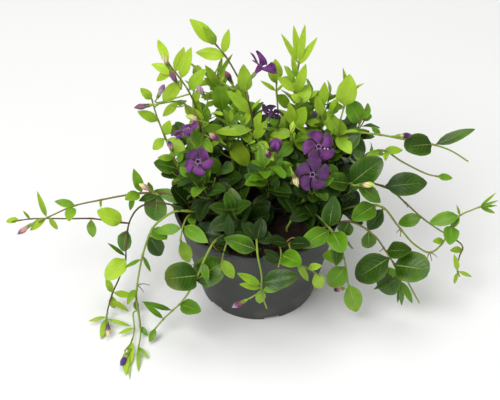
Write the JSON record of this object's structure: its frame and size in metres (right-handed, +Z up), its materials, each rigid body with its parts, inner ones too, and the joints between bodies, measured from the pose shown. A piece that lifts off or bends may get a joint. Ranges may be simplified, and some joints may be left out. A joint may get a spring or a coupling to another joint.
{
  "type": "potted trailing periwinkle",
  "caption": "Bushy trailing periwinkle with wine-purple five-petalled flowers and slim buds, its stems standing and hanging over the rim of a round plastic nursery pot filled with soil.",
  "frame": {"origin": "on the axis of the pot, in the plane of its foot, where the pot stands on a surface", "axes": "+Z up along the axis of the pot, +X to the right along the long spread of the trailing stems, -Y to the front, where the most flowers face"},
  "size_m": [0.3649, 0.2104, 0.2296],
  "materials": {
    "pot": "matte dark grey plastic",
    "soil": "rough, crumbly and damp",
    "foliage_dark": "satin, older dark green leaves on thin stems",
    "foliage_bright": "satin, young yellow-green leaves on thin stems",
    "petals": "soft and velvety, wine purple with a pale eye",
    "buds": "soft, purple to cream"
  },
  "bodies": {
    "root": {"pot": "pot", "soil": "soil", "stem_left_long": "foliage_bright", "stem_left_hanging": "foliage_dark", "stem_left_falling": "foliage_dark", "stem_front_left_falling": "foliage_dark", "stem_left_cluster": "foliage_dark", "stem_upper_left_outer": "foliage_bright", "stem_upper_left_tall": "foliage_bright", "stem_upper_left_mid": "foliage_bright", "stem_top_whip": "foliage_bright", "stem_top_left_shoot": "foliage_bright", "stem_top_center_shoot": "foliage_bright", "stem_top_tuft": "foliage_bright", "stem_top_right_shoot": "foliage_bright", "stem_top_right_leafy": "foliage_bright", "stem_right_dark_leaf": "foliage_dark", "stem_right_cut": "foliage_dark", "stem_right_arching": "foliage_bright", "stem_right_long_dark": "foliage_dark", "stem_right_rising": "foliage_dark", "stem_right_falling": "foliage_dark", "stem_right_low": "foliage_dark", "stem_front_right_falling": "foliage_bright", "stem_front_hanging": "foliage_bright", "stem_front_center_right": "foliage_dark", "stem_front_right_small": "foliage_bright", "stem_front_left_small": "foliage_bright", "stem_back_left": "foliage_dark", "stem_back_middle": "foliage_dark", "stem_back_right": "foliage_dark", "stem_back_upright": "foliage_bright", "stem_crown_left": "foliage_dark", "stem_crown_front": "foliage_dark", "stem_crown_middle": "foliage_dark", "stem_crown_right": "foliage_dark", "stem_crown_back": "foliage_bright", "bloom_top": "petals", "bloom_top_back": "petals", "bloom_left_side": "petals", "bloom_left": "petals", "bloom_right_high": "petals", "bloom_right_low": "petals", "bloom_half_open": "petals", "bud_left_1": "buds", "bud_left_2": "buds", "bud_left_3": "buds", "bud_left_4": "buds", "bud_left_5": "buds", "bud_top_1": "buds", "bud_top_2": "buds", "bud_top_right": "buds", "bud_middle_3": "buds", "bud_right_1": "buds", "bud_right_2": "buds", "bud_far_left": "buds", "bud_low_left": "buds", "bud_lowest": "buds", "bud_front": "buds", "bud_front_right": "buds"}
  },
  "joints": []
}
